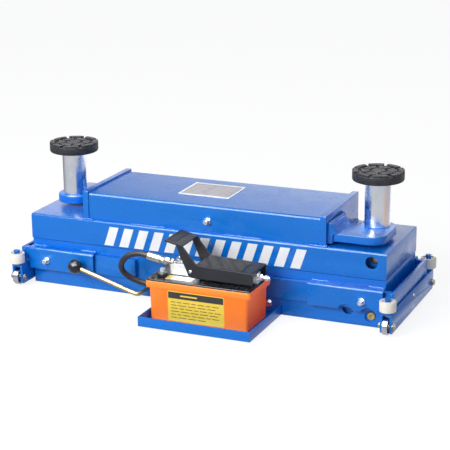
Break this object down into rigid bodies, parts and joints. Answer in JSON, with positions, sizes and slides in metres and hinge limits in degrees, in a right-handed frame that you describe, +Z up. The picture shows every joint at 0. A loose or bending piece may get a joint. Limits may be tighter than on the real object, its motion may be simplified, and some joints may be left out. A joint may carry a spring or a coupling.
{
  "type": "scissor bridge jack",
  "caption": "Rolling scissor bridge jack for a four-post lift: telescopic pad arms over a crossed-arm frame, sliding wheeled end carriages, side tray with an air-hydraulic foot pump.",
  "frame": {"origin": "centre of the base box's floor sheet, on its underside", "axes": "+X along the jack towards the end with the fixed scissor pivots, -Y towards the foot pump, +Z up"},
  "size_m": [0.9852, 0.499, 0.3376],
  "materials": {
    "blue_paint": "gloss blue enamel",
    "orange_paint": "gloss orange enamel",
    "black_paint": "semi-gloss black",
    "black_plastic": "moulded gloss black",
    "rubber": "matt black moulded rubber",
    "zinc": "bright zinc plate",
    "yellow_zinc": "yellow-passivated zinc plate",
    "steel": "machined steel",
    "aluminium": "satin machined aluminium",
    "nylon": "natural white nylon"
  },
  "bodies": {
    "base": {"base_frame": "blue_paint", "lower_pivot_pin": "yellow_zinc", "cylinder_barrel": "black_paint", "cylinder_anchor_pin": "yellow_zinc", "pump_tray": "blue_paint", "tray_bolt_1": "zinc", "tray_bolt_2": "zinc", "oil_tank": "orange_paint", "tank_cover": "black_plastic", "pump_block": "aluminium", "treadle_pin": "zinc", "hose_coupling": "zinc", "hydraulic_hose": "rubber", "air_inlet_nipple": "zinc", "sleeve_left_front": "blue_paint", "sleeve_left_rear": "blue_paint", "sleeve_right_front": "blue_paint", "sleeve_right_rear": "blue_paint", "carriage_lock_bolt_left_front": "zinc", "carriage_lock_bolt_left_rear": "zinc", "carriage_lock_bolt_right_front": "zinc", "carriage_lock_bolt_right_rear": "zinc"},
    "treadle": {"foot_treadle": "black_paint"},
    "vent": {"vent_knob": "nylon"},
    "lever": {"lock_lever": "yellow_zinc", "lever_knob": "black_plastic"},
    "outer_arms": {"scissor_arms_outer": "blue_paint", "centre_pin": "steel"},
    "inner_arms": {"scissor_arms_inner": "blue_paint"},
    "slider": {"crosshead": "steel", "cylinder_rod": "zinc"},
    "platform": {"platform_channel": "blue_paint", "telescope_box": "blue_paint", "upper_pivot_pin": "yellow_zinc", "arm_lock_bolt_front": "zinc", "arm_lock_bolt_rear": "zinc"},
    "upper_roller_front": {"upper_roller_front": "steel"},
    "lower_roller_front": {"lower_roller_front": "steel"},
    "upper_roller_rear": {"upper_roller_rear": "steel"},
    "lower_roller_rear": {"lower_roller_rear": "steel"},
    "arm_right": {"extension_arm_right": "blue_paint"},
    "support_right": {"post_right": "zinc", "rubber_pad_right": "rubber"},
    "carriage_right": {"end_carriage_right": "blue_paint", "axle_bolt_right_front": "zinc", "axle_bolt_right_rear": "zinc"},
    "wheel_right_front": {"wheel_right_front": "steel"},
    "guide_right_front": {"guide_roller_right_front": "nylon"},
    "wheel_right_rear": {"wheel_right_rear": "steel"},
    "guide_right_rear": {"guide_roller_right_rear": "nylon"},
    "arm_left": {"extension_arm_left": "blue_paint"},
    "support_left": {"post_left": "zinc", "rubber_pad_left": "rubber"},
    "carriage_left": {"end_carriage_left": "blue_paint", "axle_bolt_left_front": "zinc", "axle_bolt_left_rear": "zinc"},
    "wheel_left_front": {"wheel_left_front": "steel"},
    "guide_left_front": {"guide_roller_left_front": "nylon"},
    "wheel_left_rear": {"wheel_left_rear": "steel"},
    "guide_left_rear": {"guide_roller_left_rear": "nylon"}
  },
  "joints": [
    {"name": "lift", "type": "hinge", "parent": "base", "child": "outer_arms", "pos_m": [0.42, 0, 0.0228], "axis": [0, 1, 0], "range_deg": [0, 23.6]},
    {"name": "arm_crossing", "type": "hinge", "parent": "outer_arms", "child": "inner_arms", "pos_m": [0.035, 0, 0.0867], "axis": [0, 1, 0], "range_deg": [-47.2, 0]},
    {"name": "platform_pivot", "type": "hinge", "parent": "inner_arms", "child": "platform", "pos_m": [0.42, 0, 0.1506], "axis": [0, 1, 0], "range_deg": [0, 23.6]},
    {"name": "crosshead_pivot", "type": "hinge", "parent": "inner_arms", "child": "slider", "pos_m": [-0.35, 0, 0.0228], "axis": [0, 1, 0], "range_deg": [0, 23.6]},
    {"name": "upper_roller_front_spin", "type": "hinge", "parent": "outer_arms", "child": "upper_roller_front", "pos_m": [-0.35, 0, 0.1506], "axis": [0, 1, 0], "continuous": true},
    {"name": "lower_roller_front_spin", "type": "hinge", "parent": "slider", "child": "lower_roller_front", "pos_m": [-0.35, 0, 0.0228], "axis": [0, 1, 0], "continuous": true},
    {"name": "upper_roller_rear_spin", "type": "hinge", "parent": "outer_arms", "child": "upper_roller_rear", "pos_m": [-0.35, 0, 0.1506], "axis": [0, 1, 0], "continuous": true},
    {"name": "lower_roller_rear_spin", "type": "hinge", "parent": "slider", "child": "lower_roller_rear", "pos_m": [-0.35, 0, 0.0228], "axis": [0, 1, 0], "continuous": true},
    {"name": "arm_right_extend", "type": "slide", "parent": "platform", "child": "arm_right", "axis": [1, 0, 0], "range_m": [0, 0.2]},
    {"name": "arm_left_extend", "type": "slide", "parent": "platform", "child": "arm_left", "axis": [-1, 0, 0], "range_m": [0, 0.2]},
    {"name": "post_right_lift_out", "type": "slide", "parent": "arm_right", "child": "support_right", "axis": [0, 0, 1], "range_m": [0, 0.04]},
    {"name": "post_left_lift_out", "type": "slide", "parent": "arm_left", "child": "support_left", "axis": [0, 0, 1], "range_m": [0, 0.04]},
    {"name": "carriage_right_extend", "type": "slide", "parent": "base", "child": "carriage_right", "axis": [1, 0, 0], "range_m": [0, 0.09]},
    {"name": "wheel_right_front_spin", "type": "hinge", "parent": "carriage_right", "child": "wheel_right_front", "pos_m": [0.472, -0.164, 0.023], "axis": [1, 0, 0], "continuous": true},
    {"name": "guide_right_front_spin", "type": "hinge", "parent": "carriage_right", "child": "guide_right_front", "pos_m": [0.4737, -0.166, 0.072], "axis": [0, 0, 1], "continuous": true},
    {"name": "wheel_right_rear_spin", "type": "hinge", "parent": "carriage_right", "child": "wheel_right_rear", "pos_m": [0.472, 0.164, 0.023], "axis": [1, 0, 0], "continuous": true},
    {"name": "guide_right_rear_spin", "type": "hinge", "parent": "carriage_right", "child": "guide_right_rear", "pos_m": [0.4737, 0.166, 0.072], "axis": [0, 0, 1], "continuous": true},
    {"name": "carriage_left_extend", "type": "slide", "parent": "base", "child": "carriage_left", "axis": [-1, 0, 0], "range_m": [0, 0.09]},
    {"name": "wheel_left_front_spin", "type": "hinge", "parent": "carriage_left", "child": "wheel_left_front", "pos_m": [-0.472, -0.164, 0.023], "axis": [1, 0, 0], "continuous": true},
    {"name": "guide_left_front_spin", "type": "hinge", "parent": "carriage_left", "child": "guide_left_front", "pos_m": [-0.4737, -0.166, 0.072], "axis": [0, 0, 1], "continuous": true},
    {"name": "wheel_left_rear_spin", "type": "hinge", "parent": "carriage_left", "child": "wheel_left_rear", "pos_m": [-0.472, 0.164, 0.023], "axis": [1, 0, 0], "continuous": true},
    {"name": "guide_left_rear_spin", "type": "hinge", "parent": "carriage_left", "child": "guide_left_rear", "pos_m": [-0.4737, 0.166, 0.072], "axis": [0, 0, 1], "continuous": true},
    {"name": "treadle_rock", "type": "hinge", "parent": "base", "child": "treadle", "pos_m": [0.035, -0.2095, 0.124], "axis": [0, 1, 0], "range_deg": [-3, 1.5]},
    {"name": "vent_turn", "type": "hinge", "parent": "base", "child": "vent", "pos_m": [-0.043, -0.235, 0.107], "axis": [0, 0, 1], "range_deg": [0, 90]},
    {"name": "lock_lever_swing", "type": "hinge", "parent": "base", "child": "lever", "pos_m": [-0.141, -0.17, 0.0186], "axis": [0, 1, 0], "range_deg": [-14, 20]}
  ],
  "couplings": [
    {"joint": "arm_crossing", "follows": "lift", "ratio": -2},
    {"joint": "platform_pivot", "follows": "lift", "ratio": 1},
    {"joint": "crosshead_pivot", "follows": "lift", "ratio": 1}
  ]
}
